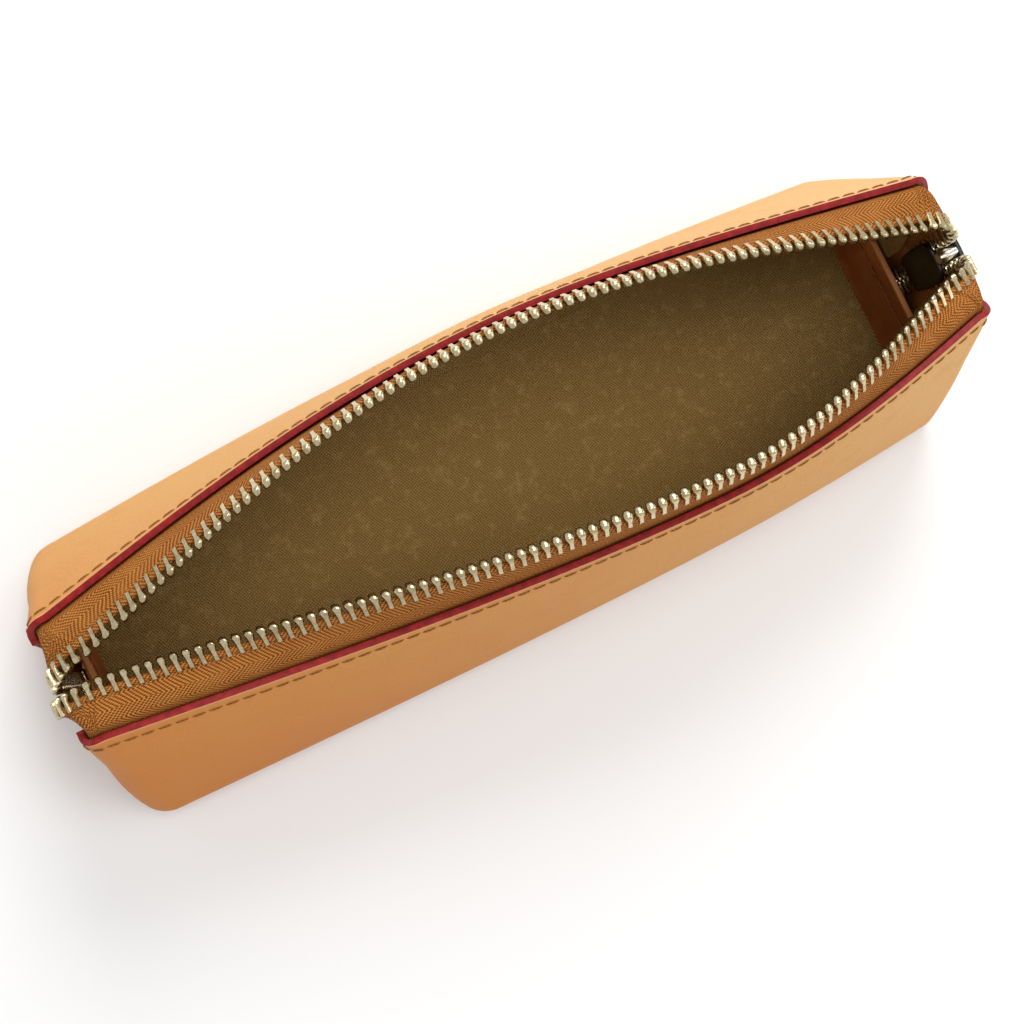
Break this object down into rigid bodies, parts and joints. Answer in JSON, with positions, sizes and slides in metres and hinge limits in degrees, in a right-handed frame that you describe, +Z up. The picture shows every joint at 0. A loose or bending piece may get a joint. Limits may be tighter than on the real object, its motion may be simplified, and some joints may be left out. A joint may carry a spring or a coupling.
{
  "type": "fountain pen case",
  "caption": "Long boxy leather pen case, open, with a metal zip along its mouth and down both ends, twill lining and a slider with a hanging pull.",
  "frame": {"origin": "centre of the base's underside", "axes": "+X along the case towards the end with the slider, +Y towards the back wall, +Z up out of the mouth"},
  "size_m": [0.1974, 0.0664, 0.0601],
  "materials": {
    "tan_leather": "vegetable-tanned, satin, painted red at its cut edge",
    "facing_leather": "darker tan, satin",
    "zip_tape": "herringbone weave",
    "twill_lining": "fine twill",
    "nickel_silver": "pale, polished",
    "gunmetal": "dark plated"
  },
  "bodies": {
    "root": {"base_panel": "tan_leather", "front_wall_left": "tan_leather", "front_wall_right": "tan_leather", "back_wall_left": "tan_leather", "back_wall_right": "tan_leather", "base_lining": "twill_lining", "front_lining_left": "twill_lining", "front_lining_right": "twill_lining", "back_lining_left": "twill_lining", "back_lining_right": "twill_lining", "left_end_patch": "facing_leather", "right_end_patch": "facing_leather", "front_tape_left": "zip_tape", "front_tape_right": "zip_tape", "back_tape_left": "zip_tape", "back_tape_right": "zip_tape", "front_teeth_left": "nickel_silver", "front_teeth_right": "nickel_silver", "back_teeth_left": "nickel_silver", "back_teeth_right": "nickel_silver", "top_stop_front": "nickel_silver", "top_stop_back": "nickel_silver", "bottom_stop": "nickel_silver"},
    "front_wall": {"front_wall_middle": "tan_leather", "front_lining_middle": "twill_lining", "front_tape_middle": "zip_tape", "front_teeth_middle": "nickel_silver"},
    "back_wall": {"back_wall_middle": "tan_leather", "back_lining_middle": "twill_lining", "back_tape_middle": "zip_tape", "back_teeth_middle": "nickel_silver"},
    "slider": {"slider_body": "gunmetal"},
    "pull": {"slider_pull": "gunmetal"}
  },
  "joints": [
    {"name": "front_wall_lean", "type": "hinge", "parent": "root", "child": "front_wall", "pos_m": [0, -0.025, 0.0008], "axis": [-1, 0, 0], "range_deg": [0, 15], "stiffness_Nm_per_rad": 0.2},
    {"name": "back_wall_lean", "type": "hinge", "parent": "root", "child": "back_wall", "pos_m": [0, 0.026, 0.0008], "axis": [1, 0, 0], "range_deg": [0, 22], "stiffness_Nm_per_rad": 0.2},
    {"name": "slider_travel", "type": "slide", "parent": "root", "child": "slider", "axis": [0, 0, 1], "range_m": [-0.006, 0.002]},
    {"name": "pull_swing", "type": "hinge", "parent": "slider", "child": "pull", "pos_m": [0.09875, 0.0008, 0.033], "axis": [0, -1, 0], "range_deg": [0, 150]}
  ]
}
